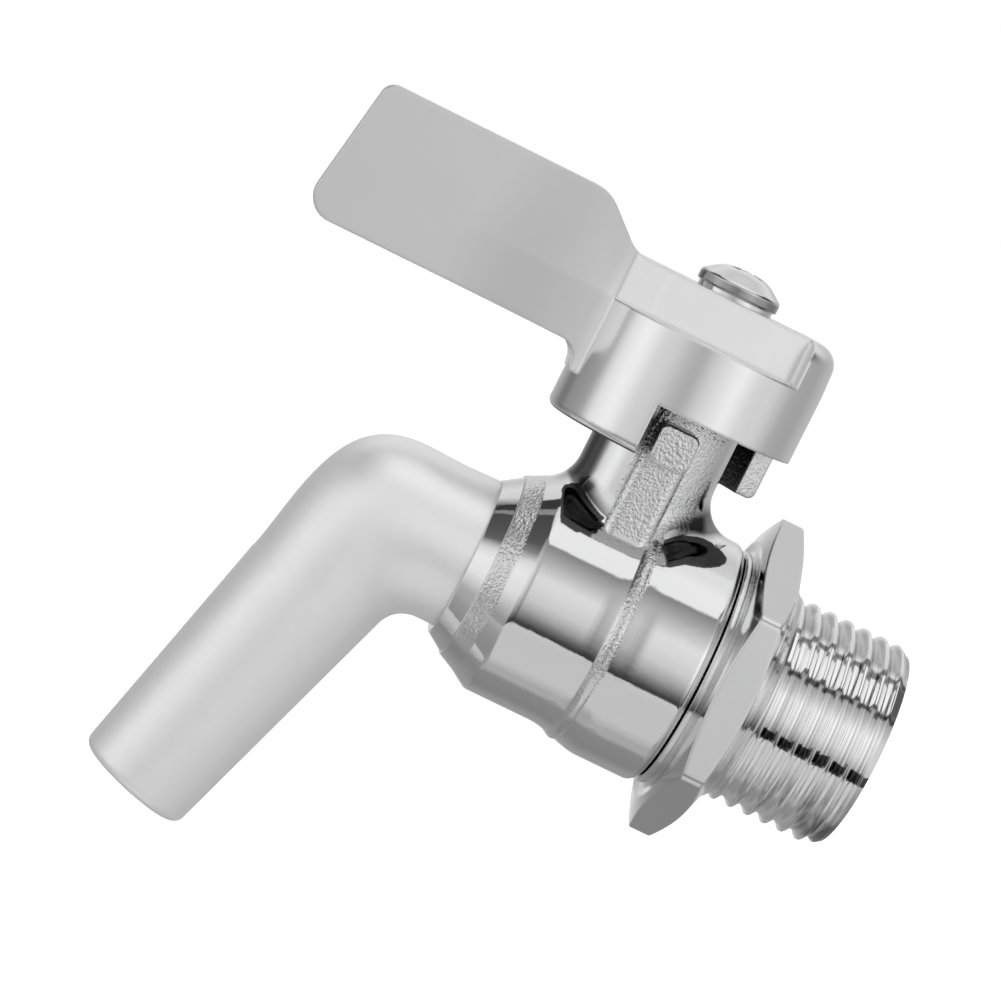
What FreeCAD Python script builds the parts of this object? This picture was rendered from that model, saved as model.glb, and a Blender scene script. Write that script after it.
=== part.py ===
import FreeCAD, Part
import math
import os

V = FreeCAD.Vector

# Beverage dispenser spigot: a small stainless ball valve with a male pipe thread,
# a bent spout and a quarter turn lever.
# Millimetres. +X runs along the inlet thread toward its free end, +Z runs up the stem.
# The origin is on the thread's axis, where the thread starts at the foot of the hexagon.
# Left is the spout's side (-X) and right is the thread's side (+X). The valve stands open.

# How far cutting shapes run past what they cut, and joined shapes run into each other
spare = 1.0
sink = 0.5

# Ball, its seats and its chamber
ball_r = 7.9
port_r = 4.5
seat_mouth_r = 6.55
seat_thickness = 3.2
seat_gap = 0.02
seat_side_gap = 0.05
chamber_gap = 0.6

# Body barrel
stem_offset = 18.4
barrel_wall = 2.8
socket_step = 1.2
socket_wall = 2.7
barrel_left_length = 6.64
barrel_right_length = 11.7
swell_start = 1.0
swell_end = 5.0
swell_round = 6.0
shoulder_round = 1.2
barrel_end_round = 1.1
edge_break = 0.15

# Collar that holds the spout
collar_length = 5.4
collar_mouth_wall = 1.5
collar_ring_length = 1.8
collar_ring_rise = 1.2
collar_mouth_round = 0.3
collar_step = 0.25
collar_step_length = 0.1
collar_bead_length = 1.85
collar_bead_rise = 0.85
collar_bead_round = 0.6
spigot_length = 3.0
spigot_wall = 1.9
spigot_gap = 0.03

# Cast seam that stands up round the barrel
seam_offset = 2.75
seam_width = 1.5
seam_height = 0.3

# Neck, stop lug and the rib under the lug
neck_wall = 2.95
neck_foot_round = 3.6
neck_rim_round = 0.5
lug_size = 3.84
lug_round = 0.8
lug_face_round = 0.35
lug_setback = 1.1
rib_width = 4.7
rib_height = 1.1
rib_round = 1.05

# Stem and its seals
stem_r = 3.5
stem_gap = 0.05
stem_flange_gap = 0.2
stem_flange_thickness = 1.5
ball_to_flange = 0.15
thrust_washer_thickness = 0.6
washer_gap = 0.03
tang_width = 6.4
tang_thickness = 2.6
tang_depth = 2.2
slot_gap = 0.05
slot_floor_gap = 0.2
ring_cord_r = 0.53
ring_squeeze_gap = 0.02
groove_depth = 1.1
groove_side_gap = 0.1
groove_pitch = 3.6
first_groove_height = 3.4
drive_r = 3.0
drive_flat = 2.2
drive_gap = 0.05

# Handle cup
handle_gap = 4.0
cup_r = 11.5
cup_height = 16.4
cup_top_draft = 0.25
cup_top_round = 2.2
skirt_wall = 2.1
skirt_edge_round = 0.8
cup_side_round = 8.0
cavity_depth = 9.8
cavity_round = 0.8
neck_headroom = 1.6
notch_height = 5.0
notch_from_deg = -107.0
notch_to_deg = 21.0

# Bar on top of the cup, and its ledge
ledge_thickness = 2.0
bar_half_width = 4.15
bar_draft = 0.25
bar_end_reach = 7.8

# Lever blade
lever_length = 40.4
lever_top_rise = 4.1
lever_height = 14.2
lever_thickness = 3.3
lever_end_slant = 2.3
lever_tip_top_round = 1.4
lever_tip_bottom_round = 2.4
lever_drop_start = 15.2
lever_drop_end = 10.6
lever_drop_round = 3.6
lever_root_run = 3.0
lever_root_gap = 0.5
lever_heel_round = 2.0
lever_heel_drop = 2.4
lever_heel_lean = 0.4
flare_end = 10.6
flare_reach = 8.0
flare_round = 42.0
flare_end_round = 0.8
flare_trim = 0.02

# Screw and spring washer on top
screw_head_r = 4.1
screw_head_height = 2.6
screw_head_edge = 1.05
screw_rim_round = 0.5
screw_under_round = 0.2
screw_crown_share = 0.55
screw_crown_drop = 0.25
screw_crown_round = 3.0
screw_point_chamfer = 0.4
screw_hole_spare = 1.0
screw_r = 2.0
screw_length = 9.0
screw_gap = 0.03
recess_length = 4.6
recess_width = 0.95
recess_depth = 1.5
spring_washer_r = 3.8
spring_washer_bore_r = 2.15
spring_washer_thickness = 0.5
spring_washer_split = 0.7
stem_top_gap = 0.7

# Inlet connector
thread_r = 20.955 / 2
thread_length = 11.8
thread_pitch = 25.4 / 14
thread_depth = 0.65
thread_crest = 0.4
thread_flank_deg = 27.5
thread_crest_count = 7
thread_lead_length = 1.1
thread_lead_slope = 1.1
thread_foot_step = 0.8
hex_across_flats = 28.7
hex_length = 4.1
hex_cone_run = 2.1
hex_back_run = 1.15
hex_corner_round = 0.9
hex_back_round = 0.4
hex_front_round = 0.6
hex_foot_round = 0.5
hub_length = 1.9
hub_rise = 0.95
hub_round = 0.5
hub_setback = 0.35
hub_ring_length = 0.75
hub_groove_depth = 0.35
inlet_r = 6.4
inlet_taper_length = 3.5
inlet_mouth_chamfer = 0.5
nose_gap = 0.05
joint_line = 0.06
gasket_width = 0.9
gasket_thickness = 0.9
gasket_gap = 0.03

# Spout
spout_r = 7.5
spout_lift = 0.3
elbow_offset = 20.3
elbow_r = 7.85
leg_offset = 20.96
leg_lean_deg = 16.5
leg_r = 7.23
leg_tip_r = 5.86
leg_length = 34.7
elbow_inner_round = 3.0
elbow_steps = 6
elbow_overrun = 2.5
ring_points = 16
spout_bore_r = 4.5
tip_round = 1.0
tip_steps = 5

# Places that follow from the sizes above
stem_x = -stem_offset
hex_across_corners = hex_across_flats / math.cos(math.radians(30))
seat_front = math.sqrt(ball_r**2 - seat_mouth_r**2)
seat_back = seat_front + seat_thickness
stem_flange_r = seat_front - stem_flange_gap
chamber_r = ball_r + chamber_gap
socket_r = chamber_r + socket_step
barrel_r = chamber_r + barrel_wall
barrel_end_r = socket_r + socket_wall
barrel_left_x = stem_x - barrel_left_length
barrel_right_x = stem_x + barrel_right_length
collar_x = barrel_left_x - collar_length
spigot_r = port_r + spigot_wall
spigot_x = collar_x + spigot_length
flange_z = ball_r + ball_to_flange
flange_top_z = flange_z + stem_flange_thickness
gland_z = flange_top_z + thrust_washer_thickness + washer_gap
neck_r = stem_r + neck_wall
cup_z = barrel_end_r + handle_gap
cup_top_z = cup_z + cup_height
cavity_z = cup_z + cavity_depth
cavity_r = cup_r - skirt_wall
neck_top_z = cavity_z - neck_headroom
ledge_z = cavity_z + ledge_thickness
lug_reach = cup_r - lug_setback
slot_floor_z = flange_z - tang_depth - slot_floor_gap
washer_top_z = cup_top_z + spring_washer_thickness
hub_x = barrel_right_x + joint_line
thread_root_r = thread_r - thread_depth
gasket_inner_r = socket_r + gasket_gap
gasket_outer_r = gasket_inner_r + gasket_width


def outline(corners, place):
    """Closed wire through corners (a, b) or (a, b, round radius), each put in space by place(a, b)."""
    starts = []
    ends = []
    middles = []
    count = len(corners)
    for i, corner in enumerate(corners):
        here = V(corner[0], corner[1], 0)
        before = V(corners[i - 1][0], corners[i - 1][1], 0) - here
        after = V(corners[(i + 1) % count][0], corners[(i + 1) % count][1], 0) - here
        radius = corner[2] if len(corner) > 2 else 0
        before.normalize()
        after.normalize()
        half = before.getAngle(after) / 2
        setback = radius / math.tan(half)
        inward = before + after
        starts.append(here + before * setback)
        ends.append(here + after * setback)
        if radius > 0:
            inward.normalize()
            middles.append(here + inward * (radius / math.sin(half) - radius))
        else:
            middles.append(None)
    edges = []
    for i in range(count):
        if middles[i] is not None:
            arc = [place(p.x, p.y) for p in (starts[i], middles[i], ends[i])]
            edges.append(Part.Arc(*arc).toShape())
        here = place(ends[i].x, ends[i].y)
        there = place(starts[(i + 1) % count].x, starts[(i + 1) % count].y)
        if here.distanceToPoint(there) > 1e-6:
            edges.append(Part.LineSegment(here, there).toShape())
    return Part.Wire(edges)


def turned(corners, axis_x=None):
    """Solid turned from (place along the axis, radius) corners, about X or about a vertical axis at axis_x."""
    if axis_x is None:
        face = Part.Face(outline(corners, lambda a, r: V(a, 0, r)))
        return face.revolve(V(0, 0, 0), V(1, 0, 0), 360)
    face = Part.Face(outline(corners, lambda a, r: V(axis_x + r, 0, a)))
    return face.revolve(V(axis_x, 0, 0), V(0, 0, 1), 360)


def ring_about_x(start, length, outer, inner):
    """Plain ring whose axis is the thread's axis."""
    axis = V(1, 0, 0)
    ring = Part.makeCylinder(outer, length, V(start, 0, 0), axis)
    return ring.cut(Part.makeCylinder(inner, length, V(start, 0, 0), axis))


def ring_about_stem(start, length, outer, inner):
    """Plain ring whose axis is the stem's axis."""
    ring = Part.makeCylinder(outer, length, V(stem_x, 0, start))
    return ring.cut(Part.makeCylinder(inner, length, V(stem_x, 0, start)))


def rod_about_stem(start, end, radius):
    """Plain round rod on the stem's axis."""
    return Part.makeCylinder(radius, end - start, V(stem_x, 0, start))


def block(x_from, x_to, y_from, y_to, z_from, z_to):
    """Box between two corners."""
    return Part.makeBox(x_to - x_from, y_to - y_from, z_to - z_from, V(x_from, y_from, z_from))


def edges_where(shape, test):
    """Edges of a shape whose middle and ends pass a test."""
    found = []
    for edge in shape.Edges:
        ends = [vertex.Point for vertex in edge.Vertexes]
        middle = edge.valueAt((edge.FirstParameter + edge.LastParameter) / 2)
        if all(test(point) for point in ends + [middle]):
            found.append(edge)
    return found


def from_stem(point):
    """Distance of a point from the stem's axis."""
    return math.hypot(point.x - stem_x, point.y)


def barrel_outside():
    """Solid barrel with the collar on its left, before the neck and the hollows."""
    ring_x = collar_x + collar_ring_length
    bead_x = ring_x + collar_bead_length
    mouth_r = spigot_r + collar_mouth_wall
    ring_r = mouth_r + collar_ring_rise
    bead_r = ring_r + collar_step
    return turned([
        (collar_x, 0),
        (collar_x, mouth_r, collar_mouth_round),
        (ring_x, ring_r, edge_break),
        (ring_x + collar_step_length, bead_r, edge_break),
        (bead_x, bead_r + collar_bead_rise, collar_bead_round),
        (barrel_left_x, barrel_r, shoulder_round),
        (stem_x + swell_start, barrel_r, swell_round),
        (stem_x + swell_end, barrel_end_r, swell_round),
        (barrel_right_x, barrel_end_r, barrel_end_round),
        (barrel_right_x, 0),
    ])


def cast_seam():
    """Low ridge round the barrel where the two halves of the mould met."""
    rise = (seam_offset - swell_start) / (swell_end - swell_start)
    seam_r = barrel_r + rise * (barrel_end_r - barrel_r)
    middle = stem_x + seam_offset
    return turned([
        (middle - seam_width / 2, chamber_r + spare),
        (middle - seam_width / 2, seam_r - seam_height / 2),
        (middle, seam_r + seam_height, seam_width / 2),
        (middle + seam_width / 2, seam_r),
        (middle + seam_width / 2, chamber_r + spare),
    ])


def stop_lug():
    """Square lug on the front of the neck that limits the handle's turn, with a rib under it."""
    half = lug_size / 2
    lug = block(stem_x - half, stem_x + half, -lug_reach, 0, cup_z, cup_z + lug_size)
    lug_middle_z = cup_z + half

    def at_lug_corner(point):
        on_side = abs(abs(point.x - stem_x) - half) < 1e-6
        return on_side and abs(abs(point.z - lug_middle_z) - half) < 1e-6

    def at_lug_face(point):
        return point.y < -lug_reach + 1e-6

    lug = lug.makeFillet(lug_round, edges_where(lug, at_lug_corner))
    lug = lug.makeFillet(lug_face_round, edges_where(lug, at_lug_face))
    rib_half = rib_width / 2
    rib_y = -neck_r - rib_height
    rib = block(stem_x - rib_half, stem_x + rib_half, rib_y, 0, chamber_r, cup_z + spare)

    def at_rib_front(point):
        return point.y < rib_y + 1e-6 and abs(abs(point.x - stem_x) - rib_half) < 1e-6

    rib = rib.makeFillet(rib_round, edges_where(rib, at_rib_front))
    return lug.fuse(rib)


def body_hollows():
    """Ball chamber, seat pockets, connector socket, ports and stem bore, as one solid to take out."""
    hollows = [
        Part.makeCylinder(chamber_r, 2 * seat_back, V(stem_x - seat_back, 0, 0), V(1, 0, 0)),
        Part.makeCylinder(socket_r, barrel_right_length - seat_back + sink,
                          V(stem_x + seat_back - sink, 0, 0), V(1, 0, 0)),
        Part.makeCylinder(gasket_outer_r + gasket_gap, gasket_thickness,
                          V(barrel_right_x - gasket_thickness, 0, 0), V(1, 0, 0)),
        Part.makeCylinder(port_r, stem_x - collar_x, V(collar_x, 0, 0), V(1, 0, 0)),
        Part.makeCylinder(spigot_r, spigot_length, V(collar_x, 0, 0), V(1, 0, 0)),
        rod_about_stem(0, gland_z, stem_flange_r + stem_gap),
        rod_about_stem(0, neck_top_z, stem_r),
    ]
    return hollows[0].fuse(hollows[1:])


def valve_body():
    """Cast body: barrel, collar, neck and stop lug."""
    neck = rod_about_stem(0, neck_top_z, neck_r)
    body = barrel_outside().fuse(neck)

    def at_neck_foot(point):
        return abs(from_stem(point) - neck_r) < 0.01 and point.z < barrel_end_r + 0.1

    def at_neck_rim(point):
        return abs(point.z - neck_top_z) < 1e-6 and from_stem(point) > neck_r - 0.01

    body = body.makeFillet(neck_foot_round, edges_where(body, at_neck_foot))
    body = body.makeFillet(neck_rim_round, edges_where(body, at_neck_rim))
    body = body.fuse([cast_seam(), stop_lug()])
    return body.cut(body_hollows())


def thread_corners():
    """Corners of the pipe thread's crests and grooves; the crests at the free end are lowered by its lead."""
    crest_half = thread_crest / 2
    spread = math.tan(math.radians(thread_flank_deg))
    corners = []
    for k in range(thread_crest_count):
        middle = crest_half + k * thread_pitch
        past_lead = max(middle - (thread_length - thread_lead_length), 0)
        crest_r = thread_r - past_lead * thread_lead_slope
        foot_half = crest_half + (crest_r - thread_root_r) * spread
        if k > 0:
            corners.append((middle - foot_half, thread_root_r))
        corners.append((middle - crest_half, crest_r))
        corners.append((middle + crest_half, crest_r))
        corners.append((middle + foot_half, thread_root_r))
    return corners


def end_connector():
    """Hexagon between the inlet's male thread and the nose that screws into the body."""
    corner_r = hex_across_corners / 2
    hub_r = barrel_end_r - hub_setback
    groove_x = hub_x + hub_ring_length
    groove_end_x = groove_x + hub_groove_depth
    back_x = hub_x + hub_length
    front_x = back_x + hex_length
    foot_r = thread_r + thread_foot_step
    blank = turned([
        (hub_x, 0),
        (hub_x, hub_r, edge_break),
        (groove_x, hub_r, edge_break),
        (groove_x, hub_r - hub_groove_depth),
        (groove_end_x, hub_r + hub_setback, edge_break),
        (back_x - hex_back_run + edge_break, barrel_end_r + hub_rise, hub_round),
        (back_x, corner_r, hex_back_round),
        (front_x - hex_cone_run, corner_r, hex_front_round),
        (-thread_foot_step, foot_r, hex_foot_round),
    ] + thread_corners() + [
        (thread_length, thread_root_r),
        (thread_length, 0),
    ])
    prism_corners = []
    for k in range(6):
        angle = math.radians(60 * k)
        prism_corners.append((corner_r * math.sin(angle), corner_r * math.cos(angle), hex_corner_round))
    prism_face = Part.Face(outline(prism_corners, lambda y, z: V(hub_x, y, z)))
    hexagon = prism_face.extrude(V(thread_length - hub_x, 0, 0))
    nose_x = stem_x + seat_back + seat_gap
    nose = Part.makeCylinder(socket_r - nose_gap, hub_x - nose_x + sink, V(nose_x, 0, 0), V(1, 0, 0))
    bore = turned([
        (nose_x, 0),
        (nose_x, port_r),
        (hub_x, port_r),
        (hub_x + inlet_taper_length, inlet_r),
        (thread_length - inlet_mouth_chamfer, inlet_r),
        (thread_length, inlet_r + inlet_mouth_chamfer),
        (thread_length, 0),
    ])
    return blank.common(hexagon).fuse(nose).cut(bore)


def connector_gasket():
    """Flat ring that seals the connector's shoulder to the end of the body."""
    return ring_about_x(barrel_right_x - gasket_thickness + gasket_gap, gasket_thickness - gasket_gap,
                        gasket_outer_r, gasket_inner_r)


def ball():
    """Ball with its through port along X, and a slot across its top for the stem."""
    centre = V(stem_x, 0, 0)
    reach = ball_r + spare
    port = Part.makeCylinder(port_r, 2 * reach, V(stem_x - reach, 0, 0), V(1, 0, 0))
    half = tang_thickness / 2 + slot_gap
    slot = block(stem_x - half, stem_x + half, -reach, reach, slot_floor_z, reach)
    return Part.makeSphere(ball_r, centre).cut(port).cut(slot)


def seat(side):
    """Soft ring whose mouth fits the ball. side is 1 on the inlet's side and -1 on the outlet's."""
    bowl_r = ball_r + seat_gap
    inner_x = math.sqrt(bowl_r**2 - port_r**2)
    middle_r = (port_r + seat_mouth_r) / 2
    middle_x = math.sqrt(bowl_r**2 - middle_r**2)
    mouth_x = math.sqrt(bowl_r**2 - seat_mouth_r**2)
    outer_r = chamber_r - seat_side_gap
    points = [
        (inner_x, port_r),
        (seat_back, port_r),
        (seat_back, outer_r),
        (mouth_x, outer_r),
        (mouth_x, seat_mouth_r),
    ]
    placed = [V(stem_x + side * x, 0, r) for x, r in points]
    edges = [Part.LineSegment(a, b).toShape() for a, b in zip(placed, placed[1:])]
    edges.append(Part.Arc(placed[-1], V(stem_x + side * middle_x, 0, middle_r), placed[0]).toShape())
    return Part.Face(Part.Wire(edges)).revolve(V(0, 0, 0), V(1, 0, 0), 360)


def groove_middle(index):
    """Height of a seal ring's groove, counted upward from 0."""
    return gland_z + first_groove_height + index * groove_pitch


def stem():
    """Stem put in from inside: tang, flange, two seal grooves, a shaft with two flats and a tapped top."""
    stem_top_z = cup_top_z - stem_top_gap
    shaft = rod_about_stem(flange_z, cavity_z, stem_r - stem_gap)
    flange = rod_about_stem(flange_z, flange_top_z, stem_flange_r)
    tang_z = flange_z - tang_depth
    tang_half = tang_thickness / 2
    tang_reach = tang_width / 2
    tang = block(stem_x - tang_half, stem_x + tang_half, -tang_reach, tang_reach, tang_z, flange_z + sink)
    tang = tang.common(rod_about_stem(tang_z, flange_z + sink, tang_reach))
    drive_z = cavity_z - spare
    drive = rod_about_stem(drive_z, stem_top_z, drive_r)
    flats = block(stem_x - drive_r, stem_x + drive_r, -drive_flat, drive_flat, drive_z, stem_top_z)
    drive = drive.common(flats)
    piece = shaft.fuse([flange, tang, drive])
    groove_half = ring_cord_r + groove_side_gap
    for index in range(2):
        start = groove_middle(index) - groove_half
        piece = piece.cut(ring_about_stem(start, 2 * groove_half, stem_r, stem_r - groove_depth))
    hole_z = washer_top_z - screw_length - screw_hole_spare
    return piece.cut(rod_about_stem(hole_z, stem_top_z, screw_r))


def stem_seal_ring(index):
    """Rubber ring in one of the stem's grooves."""
    middle_r = stem_r - ring_squeeze_gap - ring_cord_r
    return Part.makeTorus(middle_r, ring_cord_r, V(stem_x, 0, groove_middle(index)))


def thrust_washer():
    """Slippery washer between the stem's flange and the roof of its pocket."""
    return ring_about_stem(flange_top_z, thrust_washer_thickness, stem_flange_r, stem_r + stem_gap)


def handle_cup():
    """Round cup with its skirt, notch, ledge, bar flats and the keyed hole for the stem."""
    cup = turned([
        (cup_z, cavity_r),
        (cup_z, cup_r, skirt_edge_round),
        (ledge_z, cup_r, cup_side_round),
        (cup_top_z, cup_r - cup_top_draft, cup_top_round),
        (cup_top_z, 0),
        (cavity_z, 0),
        (cavity_z, cavity_r, cavity_round),
    ], stem_x)
    sweep = notch_to_deg - notch_from_deg
    notch = Part.makeCylinder(cup_r + spare, notch_height, V(stem_x, 0, cup_z), V(0, 0, 1), sweep)
    notch.rotate(V(stem_x, 0, 0), V(0, 0, 1), notch_from_deg)
    return cup.cut(notch)


def bar_half_at(z):
    """Half width of the bar at one height; its flats lean inward as they rise."""
    return bar_half_width + bar_draft - 2 * bar_draft * (z - ledge_z) / (cup_top_z - ledge_z)


def bar_side_cut(side):
    """Space beside the bar, above the ledge. side is -1 in front and 1 behind."""
    top_z = cup_top_z + lever_top_rise + spare
    far = side * (cup_r + spare)
    section = Part.Face(outline([
        (side * bar_half_at(ledge_z), ledge_z),
        (far, ledge_z),
        (far, top_z),
        (side * bar_half_at(top_z), top_z),
    ], lambda y, z: V(stem_x - flare_end - spare, y, z)))
    return section.extrude(V(flare_end + spare + bar_end_reach, 0, 0))


def blade_outline(z):
    """Level outline of the blade at one height: tip, and root flared to the bar's width."""
    end_x = stem_x - flare_end
    half = lever_thickness / 2
    root_half = bar_half_at(z) + flare_trim
    back = [
        (stem_x - lever_length - spare, half),
        (end_x - flare_reach, half, flare_round),
        (end_x, root_half, flare_end_round),
        (stem_x - cavity_r + lever_root_run, root_half),
    ]
    front = [(corner[0], -corner[1], *corner[2:]) for corner in back]
    return outline(front + back[::-1], lambda x, y: V(x, y, z))


def blade_sheet(low_z, high_z):
    """Blade before its side view is cut: upright up to the ledge, and leaning with the bar's flats above."""
    low = Part.Face(blade_outline(ledge_z)).extrude(V(0, 0, low_z - ledge_z))
    return low.fuse(Part.makeLoft([blade_outline(ledge_z), blade_outline(high_z)], True, True))


def lever_blade():
    """Upright blade that points over the spout, with its root flared to the bar's width."""
    top_z = cup_top_z + lever_top_rise
    bottom_z = top_z - lever_height
    tip_x = stem_x - lever_length
    root_x = stem_x - cavity_r - lever_root_gap
    inside_x = root_x + lever_root_run
    roof_z = cavity_z + lever_root_gap
    heel_x = stem_x - cup_r
    heel_z = bottom_z - lever_heel_drop
    side_view = Part.Face(outline([
        (tip_x + lever_end_slant, top_z, lever_tip_top_round),
        (stem_x - lever_drop_start, top_z, lever_drop_round),
        (stem_x - lever_drop_end, cup_top_z, lever_drop_round),
        (inside_x, cup_top_z),
        (inside_x, roof_z),
        (root_x, roof_z),
        (root_x, heel_z),
        (heel_x + lever_heel_lean / 2, heel_z),
        (heel_x - lever_heel_lean / 2, bottom_z, lever_heel_round),
        (tip_x, bottom_z, lever_tip_bottom_round),
    ], lambda x, z: V(x, -cup_r, z)))
    profile = side_view.extrude(V(0, 2 * cup_r, 0))
    return profile.common(blade_sheet(heel_z - spare, top_z + spare))


def handle():
    """One casting: cup, bar and lever blade."""
    piece = handle_cup().cut(bar_side_cut(-1)).cut(bar_side_cut(1))
    blade = lever_blade().cut(rod_about_stem(cup_z, cavity_z, cavity_r))
    piece = piece.fuse(blade).removeSplitter()
    key_r = drive_r + drive_gap
    key_flat = drive_flat + drive_gap
    low_z = cavity_z - spare
    high_z = cup_top_z + spare
    key = rod_about_stem(low_z, high_z, key_r)
    key = key.common(block(stem_x - key_r, stem_x + key_r, -key_flat, key_flat, low_z, high_z))
    return piece.cut(key)


def spring_washer():
    """Split washer under the screw's head."""
    ring = ring_about_stem(cup_top_z, spring_washer_thickness, spring_washer_r, spring_washer_bore_r)
    half = spring_washer_split / 2
    split = block(stem_x, stem_x + spring_washer_r + spare, -half, half, cup_top_z, washer_top_z)
    return ring.cut(split)


def handle_screw():
    """Pan head screw with a cross recess, which holds the handle on the stem."""
    shank_r = screw_r - screw_gap
    top_z = washer_top_z + screw_head_height
    point_z = washer_top_z - screw_length
    screw = turned([
        (point_z, 0),
        (point_z, shank_r - screw_point_chamfer),
        (point_z + screw_point_chamfer, shank_r),
        (washer_top_z, shank_r),
        (washer_top_z, screw_head_r, screw_under_round),
        (washer_top_z + screw_head_edge, screw_head_r, screw_rim_round),
        (top_z - screw_crown_drop, screw_head_r * screw_crown_share, screw_crown_round),
        (top_z, 0),
    ], stem_x)
    half_length = recess_length / 2
    half_width = recess_width / 2
    floor_z = top_z - recess_depth
    for turn in range(2):
        arm = Part.Face(outline([
            (-half_length, top_z),
            (half_length, top_z),
            (half_width, floor_z),
            (-half_width, floor_z),
        ], lambda a, z: V(stem_x + a, -half_width, z)))
        arm = arm.extrude(V(0, recess_width, 0))
        arm.rotate(V(stem_x, 0, 0), V(0, 0, 1), 45 + 90 * turn)
        screw = screw.cut(arm)
    return screw


def leg_point(distance):
    """Point on the axis of the spout's downward leg, at a distance from the elbow."""
    lean = math.radians(leg_lean_deg)
    return V(stem_x - leg_offset - distance * math.sin(lean), 0, -distance * math.cos(lean))


def leg_direction():
    """Direction in which the downward leg points."""
    lean = math.radians(leg_lean_deg)
    return V(-math.sin(lean), 0, -math.cos(lean))


def leg_outward():
    """Direction square to the leg, toward the outside of the elbow."""
    lean = math.radians(leg_lean_deg)
    return V(-math.cos(lean), 0, math.sin(lean))


def leg_radius(distance):
    """Outer radius of the tapered leg at a distance from the elbow."""
    return leg_r + (leg_tip_r - leg_r) * distance / leg_length


def elbow_pivot():
    """Middle of the small round on the inside of the elbow, level with its start and beside the leg."""
    lean = math.radians(leg_lean_deg)
    drop = spout_r + elbow_inner_round - spout_lift
    taper = (leg_r - leg_tip_r) / leg_length
    along = (drop - (leg_r + elbow_inner_round) * math.sin(lean)) / (math.cos(lean) - taper * math.sin(lean))
    beside = leg_radius(along) + elbow_inner_round
    return leg_point(along) - leg_outward() * beside


def elbow_reach(angle):
    """Distance from the pivot to the elbow's outside, at an angle from straight up toward the leg's outside."""
    pivot = elbow_pivot()
    direction = V(-math.sin(angle), 0, math.cos(angle))
    knuckle = V(stem_x - elbow_offset, 0, 0)
    from_outward = math.radians(90 - leg_lean_deg) - angle
    top_reach = (spout_r + spout_lift - pivot.z) / math.cos(angle)
    leg_reach = ((pivot - leg_point(0)).dot(leg_outward()) * -1 + leg_radius(0)) / math.cos(from_outward)
    toward = knuckle - pivot
    along = toward.dot(direction)
    knuckle_reach = along + math.sqrt(max(elbow_r**2 - toward.dot(toward) + along**2, 0))
    if pivot.x + direction.x * top_reach > knuckle.x:
        return top_reach
    met = pivot + direction * leg_reach
    if (met - knuckle).dot(leg_direction()) > 0:
        return leg_reach
    return knuckle_reach


def section_ring(middle, outward, half, width):
    """Closed smooth ring with one half size along a direction in the mirror plane and the other across it."""
    points = []
    for k in range(ring_points):
        turn = 2 * math.pi * k / ring_points
        points.append(middle + outward * (half * math.cos(turn)) + V(0, width * math.sin(turn), 0))
    curve = Part.BSplineCurve()
    curve.interpolate(points, PeriodicFlag=True)
    return Part.Wire(curve.toShape())


def elbow():
    """Elbow from the collar to a little way down the leg, as rings that fan round the pivot."""
    pivot = elbow_pivot()
    leg_start = (pivot - leg_point(0)).dot(leg_direction())
    rings = [section_ring(V(collar_x, 0, spout_lift), V(0, 0, 1), spout_r, spout_r)]
    turn = math.radians(90 - leg_lean_deg)
    for k in range(elbow_steps + 1):
        share = k / elbow_steps
        angle = turn * share
        outward = V(-math.sin(angle), 0, math.cos(angle))
        half = (elbow_reach(angle) - elbow_inner_round) / 2
        if k == elbow_steps:
            half = leg_radius(leg_start)
        middle = pivot + outward * (elbow_inner_round + half)
        rings.append(section_ring(middle, outward, half, spout_r + (leg_radius(leg_start) - spout_r) * share))
    last = leg_radius(leg_start + elbow_overrun)
    rings.append(section_ring(leg_point(leg_start + elbow_overrun), leg_outward(), last, last))
    return Part.makeLoft(rings, True, False), leg_start + elbow_overrun


def spout_leg(start):
    """Tapered leg from a distance below the elbow to the tip, whose rim is rounded in small steps."""
    sizes = [(start, leg_radius(start)), (leg_length - tip_round, leg_radius(leg_length - tip_round))]
    rim_r = leg_radius(leg_length - tip_round) - tip_round
    for k in range(tip_steps):
        turn = math.pi / 2 * (k + 1) / tip_steps
        distance = leg_length - tip_round + tip_round * math.sin(turn)
        sizes.append((distance, rim_r + tip_round * math.cos(turn)))
    rings = [section_ring(leg_point(distance), leg_outward(), radius, radius) for distance, radius in sizes]
    return Part.makeLoft(rings, True, True)


def spout():
    """Bent and tapered tube whose turned end sits in the body's collar."""
    bend, leg_start = elbow()
    tube = bend.fuse(spout_leg(leg_start)).removeSplitter()
    spigot_reach = spigot_length - spigot_gap
    spigot = Part.makeCylinder(spigot_r - spigot_gap, spigot_reach, V(collar_x, 0, 0), V(1, 0, 0))
    corner = leg_point(0)
    bore = Part.makeCylinder(spout_bore_r, spigot_x - corner.x, corner, V(1, 0, 0))
    bore_leg = Part.makeCylinder(spout_bore_r, leg_length + spare, corner, leg_direction())
    bore = bore.fuse([Part.makeSphere(spout_bore_r, corner), bore_leg])
    return tube.fuse(spigot).cut(bore)


pieces = {
    "valve_body": valve_body(),
    "end_connector": end_connector(),
    "connector_gasket": connector_gasket(),
    "ball": ball(),
    "inlet_seat": seat(1),
    "outlet_seat": seat(-1),
    "stem": stem(),
    "stem_thrust_washer": thrust_washer(),
    "stem_seal_ring_lower": stem_seal_ring(0),
    "stem_seal_ring_upper": stem_seal_ring(1),
    "handle": handle(),
    "spring_washer": spring_washer(),
    "handle_screw": handle_screw(),
    "spout": spout(),
}

os.makedirs("parts", exist_ok=True)
for name, shape in pieces.items():
    shape.exportStep(f"parts/{name}.step")
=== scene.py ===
import math

import bmesh
import bpy
from mathutils import Matrix, Vector

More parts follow.
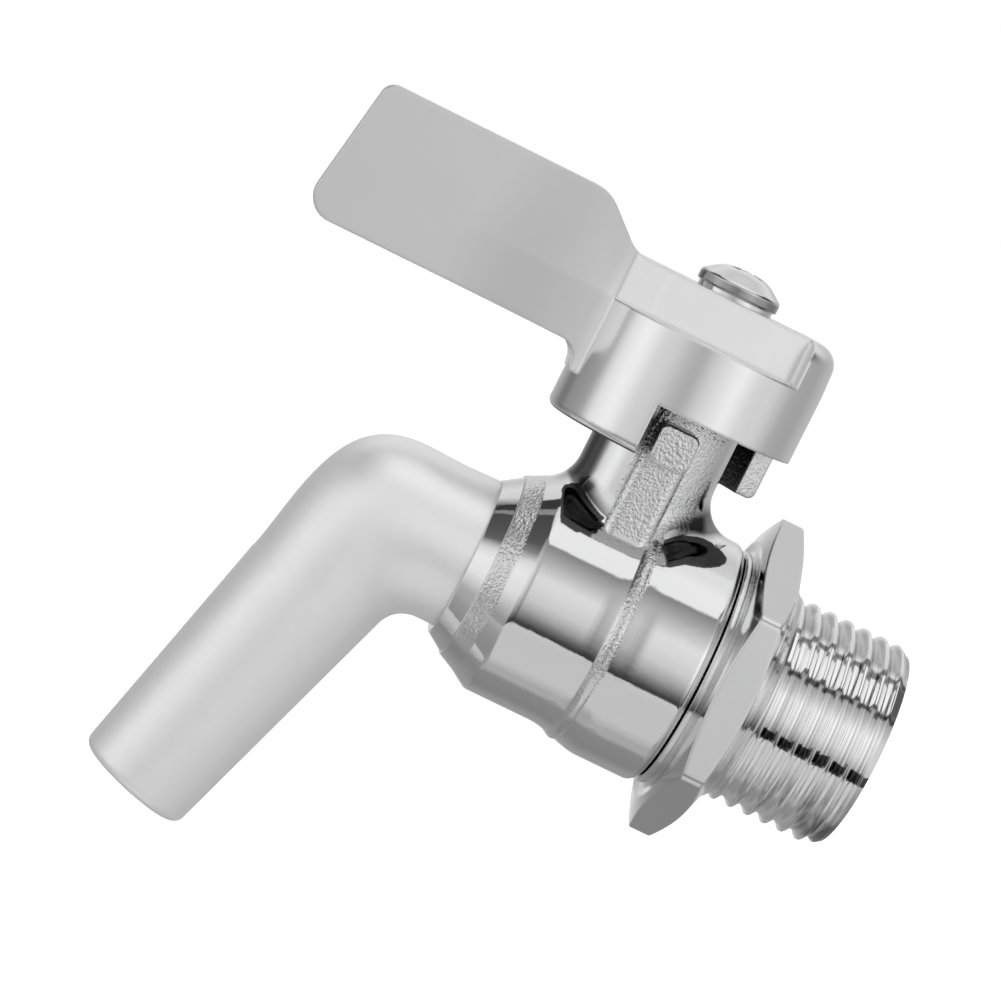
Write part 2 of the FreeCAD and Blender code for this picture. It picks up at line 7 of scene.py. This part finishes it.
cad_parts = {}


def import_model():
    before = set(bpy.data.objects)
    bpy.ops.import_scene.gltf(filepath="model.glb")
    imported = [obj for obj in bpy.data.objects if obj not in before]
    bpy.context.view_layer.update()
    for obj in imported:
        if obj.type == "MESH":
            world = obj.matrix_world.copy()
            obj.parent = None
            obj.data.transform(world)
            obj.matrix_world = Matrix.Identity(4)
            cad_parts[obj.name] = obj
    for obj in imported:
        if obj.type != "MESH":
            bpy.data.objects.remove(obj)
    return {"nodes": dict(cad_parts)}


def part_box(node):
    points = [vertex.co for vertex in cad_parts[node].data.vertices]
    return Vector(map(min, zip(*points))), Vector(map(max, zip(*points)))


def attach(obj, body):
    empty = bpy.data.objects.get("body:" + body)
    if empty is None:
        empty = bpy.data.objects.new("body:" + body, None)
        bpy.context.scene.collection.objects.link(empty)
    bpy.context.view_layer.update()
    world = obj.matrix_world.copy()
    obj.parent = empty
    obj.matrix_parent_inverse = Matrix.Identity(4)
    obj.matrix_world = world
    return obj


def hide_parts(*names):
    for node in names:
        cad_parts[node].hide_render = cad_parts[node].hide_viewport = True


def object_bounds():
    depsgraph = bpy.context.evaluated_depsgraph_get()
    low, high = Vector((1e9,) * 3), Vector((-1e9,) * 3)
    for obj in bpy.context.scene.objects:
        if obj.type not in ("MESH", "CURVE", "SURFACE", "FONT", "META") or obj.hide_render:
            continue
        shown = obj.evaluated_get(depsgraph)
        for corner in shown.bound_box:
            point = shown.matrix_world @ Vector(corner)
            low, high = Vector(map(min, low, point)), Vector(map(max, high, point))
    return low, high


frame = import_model()
cad_low, cad_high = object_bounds()
nodes = frame["nodes"]

MM = 0.001

# Places read from the frame
stem_low, stem_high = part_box("stem")
stem_x = (stem_low[0] + stem_high[0]) / 2
cup_bottom_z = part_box("valve_body")[1][2] - 8.2 * MM
cup_inside_top_z = cup_bottom_z + 10.0 * MM
cup_wall_inside = 9.5 * MM
cup_wall_middle = 11.3 * MM
barrel_end_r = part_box("valve_body")[1][1]
barrel_r = barrel_end_r - 1.1 * MM
blade_start_x = -11.0 * MM
screw_rim_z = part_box("handle_screw")[1][2] - 2.1 * MM
thread_end_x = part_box("end_connector")[1][0]

# Inlet thread: half inch pipe, 14 threads an inch
thread_r = 10.4775 * MM
thread_pitch = 25.4 / 14 * MM
thread_depth = 0.65 * MM
thread_crest_half = 0.13 * MM
thread_lead = 1.1 * MM
thread_runout = 0.5 * MM
thread_inner_r = 8.8 * MM
thread_cut_start = 0.05 * MM
thread_cut_end = 0.01 * MM
border_slack = 0.002 * MM
weld_distance = 0.001 * MM
thread_sides = 180
thread_steps_a_pitch = 22
thread_slot = 1

# Cast skin on the body; places along X are from the stem's axis
seam_x = 2.75 * MM
seam_half = 0.45 * MM
bead_x = -9.3 * MM
bead_half = 0.75 * MM
cast_edge = 0.3 * MM
cast_fade_z = -7.5 * MM
cast_fade = 4.5 * MM
rough_neck_z = 11.2 * MM
rough_neck_fade_z = 1.0 * MM
rough_neck_y = -3.2 * MM
rough_neck_fade_y = 1.2 * MM
rough_neck_x = 1.35 * MM
rough_neck_half = 3.75 * MM
rib_half = 2.3 * MM
rib_edge = 0.15 * MM
rib_y = -6.3 * MM
rib_off_barrel = 0.3 * MM

# Painted dark reflections on the body; places along X are from the stem's axis
swell_start_x = 0.5 * MM
swell_length = 5 * MM
fillet_off_barrel = 0.08 * MM
fillet_fade = 0.3 * MM
fillet_off_stem = 6.45 * MM
fillet_off_stem_fade = 0.5 * MM
fillet_beside_rib = 2.5 * MM
fillet_beside_rib_fade = 2.0 * MM
fillet_low_z = 6.0 * MM
neck_left_x = -4.9 * MM
neck_left_fade = 0.5 * MM
neck_reach = 6.9 * MM
body_reflection_share = 0.8

# Painted shade and matt places on the handle, and a painted dark reflection on its screw
faces_down = -0.75
cup_shade_share = 0.85
blade_fade = 1.0 * MM
rim_half = 0.35 * MM
rim_edge = 0.2 * MM
rim_reflection_share = 0.55

# Painted dark reflections and painted shade in the thread, by their height; its grooves count as deep from a
# little under the crests
deep_start = 0.15 * MM
deep_fade = 0.25 * MM
wander_scale = 420
wander_height = 1.2 * MM
front_fade = 2.0 * MM
patch_z = -1.75 * MM
patch_half = 0.5 * MM
patch_edge = 0.12 * MM
patch_share = 0.92
upper_line_z = 8.1 * MM
upper_line_half = 0.14 * MM
lower_line_z = 5.0 * MM
lower_line_half = 0.12 * MM
line_edge = 0.2 * MM
line_dip = 0.55 * MM
line_share = 0.75
streak_scale = 500
streak_detail = 3.0
streak_stretch = (1.0, 0.18, 0.18)
streak_from = 0.5
streak_fade = 0.12
streaks_z = -2.6 * MM
streaks_fade_z = 4.5 * MM
streak_share = 0.75
thread_top_z = 8.0 * MM
thread_top_fade = 0.4 * MM
thread_top_share = 0.42

# Textures, in waves a metre, with their heights and shares
cloud_scale = 160
cloud_height = 0.4 * MM
cloud_tint = 0.97
polish_scale = 900
polish_least = 0.8
polish_most = 1.2
fine_detail = 2.0
grain_scale = 6000
grain_height = 0.03 * MM
cast_scale = 3300
cast_height = 0.12 * MM
cast_strength = 0.9
cast_roughness = 0.18
matt_roughness = 0.22
mottle_scale = 700
mottle_height = 0.05 * MM
mottle_strength = 0.1
bevel_samples = 6
# Near black that painted shade and painted dark reflections mix toward
painted_dark_colour = (0.02, 0.02, 0.02, 1)

# Light tent: (degrees above the horizon, grey) in front, to the sides and behind
front_heights = [
    (-90, 0.64), (-36, 0.64), (-32, 0.62), (-31, 0.04), (-28, 0.06), (-23, 0.15), (-14, 0.34), (-4, 0.52),
    (8, 0.60), (20, 0.64), (36, 0.50), (49, 0.30), (51, 0.28), (53, 0.97), (90, 1.0)]
side_heights = [
    (-90, 0.50), (-50, 0.30), (-25, 0.45), (-8, 0.75), (10, 0.75), (20, 0.55), (28, 0.12), (50, 0.07),
    (57, 0.80), (90, 0.92)]
back_heights = [
    (-90, 0.30), (-55, 0.26), (-25, 0.40), (-10, 0.85), (0, 0.92), (30, 0.88), (60, 0.66), (90, 0.80)]

# Cards of the tent near the horizon: (degrees from the front, positive toward +X, share of the light)
card_turns = [
    (-180, 0.90), (-160, 0.50), (-146, 0.36), (-141, 0.22), (-129, 0.22), (-124, 0.36), (-98, 0.50),
    (-86, 1.10), (-60, 1.45), (-35, 1.30), (-20, 0.97), (-8, 0.82), (6, 1.32), (34, 1.87), (60, 1.10),
    (94, 0.57), (122, 0.50), (150, 0.56), (165, 0.65), (180, 0.90)]

# Where the tent's back and sides take over from its front, and how far from level the cards reach
back_start = 0.62
back_slope = 2.2
side_turn = math.radians(92)
side_half = math.radians(22)
side_edge = math.radians(20)
cards_half = 0.30
cards_edge = 0.35

# Camera: its angles in degrees, and the width that the picture spans at the object
view_azimuth = -5.7
view_elevation = 4.85
view_roll = 26.5
view_distance = 400 * MM
frame_width = 94.4 * MM
sensor_width = 36
near_clip = 10 * MM
aim = Vector((stem_x - 11.3 * MM, 0, 6.2 * MM))

# Floor
floor_size = 8
floor_z = cad_low[2] - 25 * MM
floor_glow = 0.55
floor_roughness = 0.9
floor_cloud_scale = 3
floor_darker = (0.86, 0.86, 0.86)
floor_lighter = (0.88, 0.88, 0.88)


def new_material(name):
    """Material with an empty node tree, its output and a Principled shader."""
    material = bpy.data.materials.new(name)
    material.use_nodes = True
    tree = material.node_tree
    tree.nodes.clear()
    output = tree.nodes.new("ShaderNodeOutputMaterial")
    shader = tree.nodes.new("ShaderNodeBsdfPrincipled")
    tree.links.new(shader.outputs[0], output.inputs[0])
    return material, tree, shader


def math_node(tree, operation, a, b=None, clamp=False):
    """Math node whose inputs are sockets or numbers; returns its output."""
    node = tree.nodes.new("ShaderNodeMath")
    node.operation = operation
    node.use_clamp = clamp
    for socket, value in zip(node.inputs, (a, b)):
        if value is None:
            continue
        if isinstance(value, (int, float)):
            socket.default_value = value
        else:
            tree.links.new(value, socket)
    return node.outputs[0]


def product(tree, value, *others):
    """Value times all the others."""
    for other in others:
        value = math_node(tree, "MULTIPLY", value, other)
    return value


def largest(tree, value, *others):
    """Largest of the values."""
    for other in others:
        value = math_node(tree, "MAXIMUM", value, other)
    return value


def past(tree, value, start, width):
    """Share that rises from 0 at the start to 1 at a width past it."""
    return math_node(tree, "DIVIDE", math_node(tree, "SUBTRACT", value, start), width, clamp=True)


def before(tree, value, start, width):
    """Share that rises from 0 at the start to 1 at a width before it."""
    return math_node(tree, "DIVIDE", math_node(tree, "SUBTRACT", start, value), width, clamp=True)


def band(tree, value, middle, half, soft):
    """1 where a value lies within half of the middle, falling to 0 over the soft width."""
    distance = math_node(tree, "ABSOLUTE", math_node(tree, "SUBTRACT", value, middle))
    outside = math_node(tree, "DIVIDE", math_node(tree, "SUBTRACT", distance, half), soft)
    return math_node(tree, "SUBTRACT", 1.0, outside, clamp=True)


def between(tree, share, low, high):
    """Value that runs from low to high with a share; each is a socket or a number."""
    step = math_node(tree, "SUBTRACT", high, low)
    return math_node(tree, "ADD", low, math_node(tree, "MULTIPLY", step, share))


def distance_from_axis(tree, first, second):
    """Distance from an axis by the two offsets across it."""
    square = math_node(tree, "ADD", product(tree, first, first), product(tree, second, second))
    return math_node(tree, "SQRT", square)


def x_from_stem(tree, axes):
    """Place along X from the stem's axis."""
    return math_node(tree, "SUBTRACT", axes[0], stem_x)


def distance_from_stem(tree, axes):
    """Distance from the stem's axis."""
    return distance_from_axis(tree, x_from_stem(tree, axes), axes[1])


def distance_from_thread(tree, axes):
    """Distance from the thread's axis, which is the barrel's too."""
    return distance_from_axis(tree, axes[1], axes[2])


def position(tree):
    """The piece's own coordinates in metres, as one vector and as x, y and z."""
    coordinates = tree.nodes.new("ShaderNodeTexCoord")
    split = tree.nodes.new("ShaderNodeSeparateXYZ")
    tree.links.new(coordinates.outputs["Object"], split.inputs[0])
    return coordinates.outputs["Object"], split.outputs


def noise(tree, vector, scale, detail=4.0, stretch=None):
    """Noise texture of a scale per metre; returns its height."""
    if stretch is not None:
        mapping = tree.nodes.new("ShaderNodeMapping")
        mapping.inputs["Scale"].default_value = stretch
        tree.links.new(vector, mapping.inputs["Vector"])
        vector = mapping.outputs[0]
    texture = tree.nodes.new("ShaderNodeTexNoise")
    texture.inputs["Scale"].default_value = scale
    texture.inputs["Detail"].default_value = detail
    tree.links.new(vector, texture.inputs["Vector"])
    return texture.outputs["Fac"]


def mixed_value(tree, factor, low, high):
    """Value that runs from low to high with a factor socket."""
    node = tree.nodes.new("ShaderNodeMapRange")
    node.inputs["To Min"].default_value = low
    node.inputs["To Max"].default_value = high
    tree.links.new(factor, node.inputs["Value"])
    return node.outputs["Result"]


def mixed_colour(tree, factor, low, high):
    """Colour that runs from low to high with a factor socket."""
    ramp = tree.nodes.new("ShaderNodeValToRGB")
    ramp.color_ramp.elements[0].color = (*low, 1)
    ramp.color_ramp.elements[1].color = (*high, 1)
    tree.links.new(factor, ramp.inputs[0])
    return ramp.outputs[0]


def darkened(tree, colour, share):
    """Colour mixed toward near black by a share socket, for painted shade and painted dark reflections."""
    node = tree.nodes.new("ShaderNodeMix")
    node.data_type = "RGBA"
    colour_a = node.inputs[6]
    colour_b = node.inputs[7]
    tree.links.new(share, node.inputs["Factor"])
    tree.links.new(colour, colour_a)
    colour_b.default_value = painted_dark_colour
    return node.outputs[2]


def bump(tree, height, strength, distance, normal=None):
    """Bump node on top of an earlier normal; returns the new one."""
    node = tree.nodes.new("ShaderNodeBump")
    node.inputs["Distance"].default_value = distance
    if isinstance(strength, (int, float)):
        node.inputs["Strength"].default_value = strength
    else:
        tree.links.new(strength, node.inputs["Strength"])
    tree.links.new(height, node.inputs["Height"])
    if normal is not None:
        tree.links.new(normal, node.inputs["Normal"])
    return node.outputs[0]


def softened_edges(tree, radius):
    """Normal that rounds sharp edges by a radius."""
    node = tree.nodes.new("ShaderNodeBevel")
    node.samples = bevel_samples
    node.inputs["Radius"].default_value = radius
    return node.outputs[0]


def metal(name, tint, roughness, wave=0.0, grain=0.0, metallic=1.0, edge=0.1 * MM,
          rough_places=None, painted_dark_places=None, matt_places=None):
    """Steel with faint waviness and grain, soft edges, rough and matt places, and painted shade and dark
    reflections where functions say.
    """
    material, tree, shader = new_material(name)
    place, axes = position(tree)
    shader.inputs["Metallic"].default_value = metallic
    cloud = noise(tree, place, cloud_scale)
    darker_tint = tuple(c * cloud_tint for c in tint)
    colour = mixed_colour(tree, cloud, darker_tint, tint)
    if painted_dark_places is not None:
        colour = darkened(tree, colour, painted_dark_places(tree, place, axes))
    tree.links.new(colour, shader.inputs["Base Color"])
    haze = noise(tree, place, polish_scale)
    polish = mixed_value(tree, haze, roughness * polish_least, roughness * polish_most)
    normal = bump(tree, cloud, wave, cloud_height, softened_edges(tree, edge))
    normal = bump(tree, noise(tree, place, grain_scale, fine_detail), grain, grain_height, normal)
    if rough_places is not None:
        rough = rough_places(tree, place, axes)
        cast_skin = noise(tree, place, cast_scale, fine_detail)
        normal = bump(tree, cast_skin, product(tree, rough, cast_strength), cast_height, normal)
        polish = math_node(tree, "ADD", polish, product(tree, rough, cast_roughness))
    if matt_places is not None:
        matt = matt_places(tree, place, axes)
        polish = math_node(tree, "ADD", polish, product(tree, matt, matt_roughness))
    tree.links.new(polish, shader.inputs["Roughness"])
    tree.links.new(normal, shader.inputs["Normal"])
    return material


def rough_on_body(tree, place, axes):
    """Cast skin: the barrel's seam, the collar's middle ring, the neck's front with its lug, and the rib."""
    x = x_from_stem(tree, axes)
    upper = past(tree, axes[2], cast_fade_z, cast_fade)
    seam = product(tree, band(tree, x, seam_x, seam_half, cast_edge), upper)
    bead = product(tree, band(tree, x, bead_x, bead_half, cast_edge), upper)
    neck = product(tree, past(tree, axes[2], rough_neck_z, rough_neck_fade_z),
                   before(tree, axes[1], rough_neck_y, rough_neck_fade_y),
                   band(tree, x, rough_neck_x, rough_neck_half, cast_edge))
    raised = past(tree, distance_from_thread(tree, axes), barrel_r + rib_off_barrel, cast_edge)
    rib = product(tree, raised, band(tree, x, 0.0, rib_half, rib_edge),
                  math_node(tree, "LESS_THAN", axes[1], rib_y))
    return largest(tree, seam, bead, neck, rib)


def rough_on_handle(tree, place, axes):
    """Cast skin on the cut ends of the skirt's notch and inside the cup."""
    return product(tree, math_node(tree, "LESS_THAN", axes[2], cup_inside_top_z),
                   math_node(tree, "LESS_THAN", distance_from_stem(tree, axes), cup_wall_middle))


def painted_shade_in_cup(tree, place, axes):
    """Painted shade on the inside of the cup's wall and on what faces down."""
    inside = product(tree, math_node(tree, "LESS_THAN", axes[2], cup_inside_top_z),
                     math_node(tree, "LESS_THAN", distance_from_stem(tree, axes), cup_wall_inside))
    geometry = tree.nodes.new("ShaderNodeNewGeometry")
    facing = tree.nodes.new("ShaderNodeSeparateXYZ")
    tree.links.new(geometry.outputs["True Normal"], facing.inputs[0])
    down = math_node(tree, "LESS_THAN", facing.outputs[2], faces_down)
    return product(tree, largest(tree, inside, down), cup_shade_share)


def matt_on_blade(tree, place, axes):
    """The blade is more matt than the cup."""
    return before(tree, x_from_stem(tree, axes), blade_start_x, blade_fade)


def painted_reflection_on_body(tree, place, axes):
    """Painted dark reflections on the fillet at the neck's foot and on the neck's left side."""
    x = x_from_stem(tree, axes)
    reach = distance_from_stem(tree, axes)
    barrel = between(tree, past(tree, x, swell_start_x, swell_length), barrel_r, barrel_end_r)
    off_barrel = math_node(tree, "SUBTRACT", distance_from_thread(tree, axes), barrel)
    beside_rib = past(tree, math_node(tree, "ABSOLUTE", x), fillet_beside_rib, fillet_beside_rib_fade)
    fillet = product(tree, past(tree, off_barrel, fillet_off_barrel, fillet_fade),
                     past(tree, reach, fillet_off_stem, fillet_off_stem_fade), beside_rib)
    left_side = product(tree, before(tree, x, neck_left_x, neck_left_fade),
                        math_node(tree, "LESS_THAN", reach, neck_reach))
    high = math_node(tree, "GREATER_THAN", axes[2], fillet_low_z)
    return product(tree, largest(tree, fillet, left_side), body_reflection_share, high)


def painted_reflection_on_rim(tree, place, axes):
    """Painted dark reflection: a darker band round the screw head's rim."""
    return product(tree, band(tree, axes[2], screw_rim_z, rim_half, rim_edge), rim_reflection_share)


def painted_reflection_in_thread(tree, place, axes):
    """Painted dark reflections and shade in the thread: a row of patches and two uneven lines in front,
    painted shade in the grooves at the top, darker streaks low down.
    """
    deep = before(tree, distance_from_thread(tree, axes), thread_r - deep_start, deep_fade)
    uneven = math_node(tree, "SUBTRACT", noise(tree, place, wander_scale), 0.5)
    level = math_node(tree, "ADD", axes[2], product(tree, uneven, wander_height))
    patches = product(tree, band(tree, level, patch_z, patch_half, patch_edge), deep, patch_share)
    dipped = math_node(tree, "ADD", level, product(tree, deep, line_dip))
    lines = largest(tree, band(tree, dipped, upper_line_z, upper_line_half, line_edge),
                    band(tree, dipped, lower_line_z, lower_line_half, line_edge))
    in_front = before(tree, axes[1], 0.0, front_fade)
    front_marks = product(tree, largest(tree, patches, product(tree, lines, line_share)), in_front)
    streak_noise = noise(tree, place, streak_scale, streak_detail, streak_stretch)
    streaks = product(tree, past(tree, streak_noise, streak_from, streak_fade),
                      before(tree, axes[2], streaks_z, streaks_fade_z), streak_share)
    top = product(tree, past(tree, axes[2], thread_top_z, thread_top_fade), deep, thread_top_share)
    return largest(tree, front_marks, streaks, top)


def soft_material(name, low, high, roughness):
    """Plastic or rubber with a faint mottle."""
    material, tree, shader = new_material(name)
    mottle = noise(tree, position(tree)[0], mottle_scale)
    tree.links.new(mixed_colour(tree, mottle, low, high), shader.inputs["Base Color"])
    shader.inputs["Roughness"].default_value = roughness
    tree.links.new(bump(tree, mottle, mottle_strength, mottle_height), shader.inputs["Normal"])
    return material


def dress(material, *names):
    """Gives CAD nodes a material."""
    for name in names:
        for slot in nodes[name].material_slots:
            slot.material = material


# The body, handle, screw and thread carry painted shade and painted dark reflections in their colour
polished = metal("polished_cast_steel", (0.83, 0.83, 0.835), 0.05, wave=0.10, grain=0.02,
                 rough_places=rough_on_body, painted_dark_places=painted_reflection_on_body)
turned_steel = metal("turned_steel", (0.80, 0.80, 0.805), 0.08, wave=0.03, grain=0.05, edge=0.35 * MM)
thread_steel = metal("threaded_steel", (0.94, 0.94, 0.945), 0.10, grain=0.08, edge=0.05 * MM,
                     painted_dark_places=painted_reflection_in_thread)
lever_steel = metal("satin_lever_steel", (0.90, 0.90, 0.90), 0.17, wave=0.05, grain=0.12, edge=0.4 * MM,
                    rough_places=rough_on_handle, painted_dark_places=painted_shade_in_cup, matt_places=matt_on_blade)
satin = metal("blasted_spout_steel", (0.94, 0.94, 0.94), 0.42, grain=0.25, metallic=0.62)
screw_steel = metal("bright_screw_steel", (0.85, 0.85, 0.86), 0.10, wave=0.05, grain=0.1,
                    painted_dark_places=painted_reflection_on_rim)
ground = metal("ground_steel", (0.80, 0.80, 0.81), 0.22, grain=0.2)
ptfe = soft_material("white_ptfe", (0.85, 0.85, 0.83), (0.92, 0.92, 0.90), 0.45)
rubber = soft_material("black_rubber", (0.02, 0.02, 0.02), (0.04, 0.04, 0.04), 0.6)

dress(polished, "valve_body")
dress(satin, "spout")
dress(lever_steel, "handle")
dress(screw_steel, "handle_screw", "spring_washer")
dress(ground, "stem", "ball")
dress(ptfe, "inlet_seat", "outlet_seat", "stem_thrust_washer", "connector_gasket")
dress(rubber, "stem_seal_ring_lower", "stem_seal_ring_upper")


def remove_ring_thread(mesh):
    """Takes off the CAD's thread between the hexagon and the end face."""
    gone = []
    for face in mesh.faces:
        middle = face.calc_center_median()
        outside = math.hypot(middle.y, middle.z) > thread_inner_r
        if outside and thread_cut_start < middle.x < thread_end_x - thread_cut_end:
            gone.append(face)
    bmesh.ops.delete(mesh, geom=gone, context="FACES")


def thread_radius(x, turn):
    """Radius of the helical thread's surface at a place along the axis and a turn about it."""
    phase = (x / thread_pitch - turn / (2 * math.pi)) % 1.0
    from_crest = min(phase, 1.0 - phase) * thread_pitch
    run = thread_pitch / 2 - thread_crest_half
    rise = 1.0 - min(max((from_crest - thread_crest_half) / run, 0.0), 1.0)
    start = min(x / thread_runout, 1.0)
    depth = thread_depth * (1.0 - rise * rise) * start
    cone = thread_r - max(x - (thread_end_x - thread_lead), 0) * thread_depth / thread_lead
    return min(thread_r - depth, cone)


def thread_ring(mesh, x):
    """Vertices round the thread at a place along it."""
    ring = []
    for k in range(thread_sides):
        turn = 2 * math.pi * k / thread_sides
        radius = thread_radius(x, turn)
        ring.append(mesh.verts.new((x, -radius * math.sin(turn), radius * math.cos(turn))))
    return ring


def finish_thread_face(face):
    """Makes a face smooth and gives it the thread's material."""
    face.smooth = True
    face.material_index = thread_slot


def open_edges(mesh, low_x, high_x):
    """Open edges on the thread's outside between two places along it."""

    def on_thread(vertex):
        place = vertex.co
        outside = math.hypot(place.y, place.z) > thread_inner_r
        return outside and low_x - border_slack < place.x < high_x + border_slack

    return [edge for edge in mesh.edges if edge.is_boundary and all(on_thread(v) for v in edge.verts)]


def bridge(mesh, low_x, high_x):
    """Joins the two borders that lie between two places along the thread."""
    ends = {vertex for edge in open_edges(mesh, low_x, high_x) for vertex in edge.verts}
    bmesh.ops.remove_doubles(mesh, verts=list(ends), dist=weld_distance)
    for face in bmesh.ops.bridge_loops(mesh, edges=open_edges(mesh, low_x, high_x))["faces"]:
        finish_thread_face(face)


def threaded_connector():
    """The connector's own mesh with its ring thread taken off and a helical thread put on."""
    mesh = bmesh.new()
    mesh.from_mesh(nodes["end_connector"].data)
    remove_ring_thread(mesh)
    steps = round(thread_end_x / thread_pitch * thread_steps_a_pitch)
    step = thread_end_x / steps
    rings = [thread_ring(mesh, thread_end_x * i / steps) for i in range(1, steps)]
    for low, high in zip(rings, rings[1:]):
        for k in range(thread_sides):
            after = (k + 1) % thread_sides
            finish_thread_face(mesh.faces.new((low[k], low[after], high[after], high[k])))
    bridge(mesh, 0.0, step)
    bridge(mesh, thread_end_x - step, thread_end_x)
    data = bpy.data.meshes.new("threaded_connector")
    data.materials.append(turned_steel)
    data.materials.append(thread_steel)
    mesh.to_mesh(data)
    mesh.free()
    piece = bpy.data.objects.new("threaded_connector", data)
    bpy.context.scene.collection.objects.link(piece)
    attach(piece, "valve")
    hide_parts("end_connector")


threaded_connector()


def grey_ramp(tree, factor, stops):
    """Grey ramp through stops of (place from 0 to 1, grey)."""
    ramp = tree.nodes.new("ShaderNodeValToRGB")
    elements = ramp.color_ramp.elements
    while len(elements) < len(stops):
        elements.new(0.5)
    for element, (place, grey) in zip(elements, stops):
        element.position = place
        element.color = (grey, grey, grey, 1)
    tree.links.new(factor, ramp.inputs[0])
    return ramp.outputs[0]


def height_ramp(tree, level, stops):
    """Grey by the degrees above the horizon; level runs from 0 at the bottom to 1 at the top."""
    return grey_ramp(tree, level, [(degrees / 180 + 0.5, grey) for degrees, grey in stops])


def turn_ramp(tree, around, stops):
    """Share by the degrees round the object; it is halved in the ramp, which holds values up to 1."""
    half = grey_ramp(tree, around, [(degrees / 360 + 0.5, share / 2) for degrees, share in stops])
    return math_node(tree, "MULTIPLY", half, 2.0)


def tent_strength(tree):
    """Strength of the tent's light in every direction."""
    coordinates = tree.nodes.new("ShaderNodeTexCoord")
    split = tree.nodes.new("ShaderNodeSeparateXYZ")
    tree.links.new(coordinates.outputs["Generated"], split.inputs[0])
    rise = math_node(tree, "ARCSINE", split.outputs[2])
    level = math_node(tree, "ADD", math_node(tree, "DIVIDE", rise, math.pi), 0.5)
    front = height_ramp(tree, level, front_heights)
    side = height_ramp(tree, level, side_heights)
    back = height_ramp(tree, level, back_heights)
    turn = math_node(tree, "ARCTAN2", split.outputs[0], product(tree, split.outputs[1], -1.0))
    around = math_node(tree, "ADD", math_node(tree, "DIVIDE", turn, 2 * math.pi), 0.5)
    cards = turn_ramp(tree, around, card_turns)
    behind = math_node(tree, "ADD", product(tree, split.outputs[1], back_slope), back_start, clamp=True)
    aside = band(tree, math_node(tree, "ABSOLUTE", turn), side_turn, side_half, side_edge)
    by_height = between(tree, aside, between(tree, behind, front, back), side)
    near_level = band(tree, rise, 0.0, cards_half, cards_edge)
    return product(tree, by_height, between(tree, near_level, 1.0, cards))


def studio_world():
    """White for the camera, and for everything else a light tent with dark parts and cards."""
    world = bpy.data.worlds.new("studio")
    bpy.context.scene.world = world
    world.use_nodes = True
    tree = world.node_tree
    tree.nodes.clear()
    tent = tree.nodes.new("ShaderNodeBackground")
    tent.inputs["Color"].default_value = (1, 1, 1, 1)
    tree.links.new(tent_strength(tree), tent.inputs["Strength"])
    white = tree.nodes.new("ShaderNodeBackground")
    white.inputs["Color"].default_value = (1, 1, 1, 1)
    seen = tree.nodes.new("ShaderNodeLightPath")
    choose = tree.nodes.new("ShaderNodeMixShader")
    output = tree.nodes.new("ShaderNodeOutputWorld")
    tree.links.new(seen.outputs["Is Camera Ray"], choose.inputs[0])
    tree.links.new(tent.outputs[0], choose.inputs[1])
    tree.links.new(white.outputs[0], choose.inputs[2])
    tree.links.new(choose.outputs[0], output.inputs[0])


def studio_floor():
    """Large pale floor that keeps the object's shadow and looks white to the camera elsewhere."""
    bpy.ops.mesh.primitive_plane_add(size=floor_size, location=(0, 0, floor_z))
    floor = bpy.context.object
    floor.name = "studio_floor"
    material, tree, shader = new_material("pale_floor")
    cloud = noise(tree, position(tree)[0], floor_cloud_scale)
    tree.links.new(mixed_colour(tree, cloud, floor_darker, floor_lighter), shader.inputs["Base Color"])
    shader.inputs["Roughness"].default_value = floor_roughness
    glow = tree.nodes.new("ShaderNodeEmission")
    seen = tree.nodes.new("ShaderNodeLightPath")
    tree.links.new(product(tree, seen.outputs["Is Camera Ray"], floor_glow), glow.inputs["Strength"])
    both = tree.nodes.new("ShaderNodeAddShader")
    tree.links.new(shader.outputs[0], both.inputs[0])
    tree.links.new(glow.outputs[0], both.inputs[1])
    clear = tree.nodes.new("ShaderNodeBsdfTransparent")
    choose = tree.nodes.new("ShaderNodeMixShader")
    tree.links.new(seen.outputs["Is Glossy Ray"], choose.inputs[0])
    tree.links.new(both.outputs[0], choose.inputs[1])
    tree.links.new(clear.outputs[0], choose.inputs[2])
    output = next(n for n in tree.nodes if n.type == "OUTPUT_MATERIAL")
    tree.links.new(choose.outputs[0], output.inputs[0])
    floor.data.materials.append(material)


def soft_light(name, place, size, power):
    """Square area light that faces the object and stays out of its reflections."""
    data = bpy.data.lights.new(name, "AREA")
    data.size = size
    data.energy = power
    light = bpy.data.objects.new(name, data)
    light.location = place
    light.visible_glossy = False
    light.rotation_euler = (aim - Vector(place)).to_track_quat("-Z", "Y").to_euler()
    bpy.context.scene.collection.objects.link(light)


def photo_camera():
    """Camera at the photograph's angle, rolled as the photograph is."""
    azimuth = math.radians(view_azimuth)
    elevation = math.radians(view_elevation)
    roll = math.radians(view_roll)
    away = Vector((math.sin(azimuth) * math.cos(elevation), -math.cos(azimuth) * math.cos(elevation),
                   math.sin(elevation)))
    right = Vector((math.cos(azimuth), math.sin(azimuth), 0))
    up = away.cross(right)
    rolled_right = right * math.cos(roll) + up * math.sin(roll)
    rolled_up = up * math.cos(roll) - right * math.sin(roll)
    camera = bpy.data.objects.new("photo_camera", bpy.data.cameras.new("photo_camera"))
    camera.data.sensor_width = sensor_width
    camera.data.lens = sensor_width * view_distance / frame_width
    camera.data.clip_start = near_clip
    camera.matrix_world = Matrix((
        (rolled_right.x, rolled_up.x, away.x, aim.x + away.x * view_distance),
        (rolled_right.y, rolled_up.y, away.y, aim.y + away.y * view_distance),
        (rolled_right.z, rolled_up.z, away.z, aim.z + away.z * view_distance),
        (0, 0, 0, 1)))
    bpy.context.scene.collection.objects.link(camera)
    bpy.context.scene.camera = camera


studio_world()
studio_floor()
soft_light("key_light", place=(-0.55, -0.75, 0.95), size=0.7, power=6)
soft_light("fill_light", place=(0.9, -0.5, 0.5), size=0.8, power=2.5)
photo_camera()
bpy.context.scene.view_settings.view_transform = "Standard"
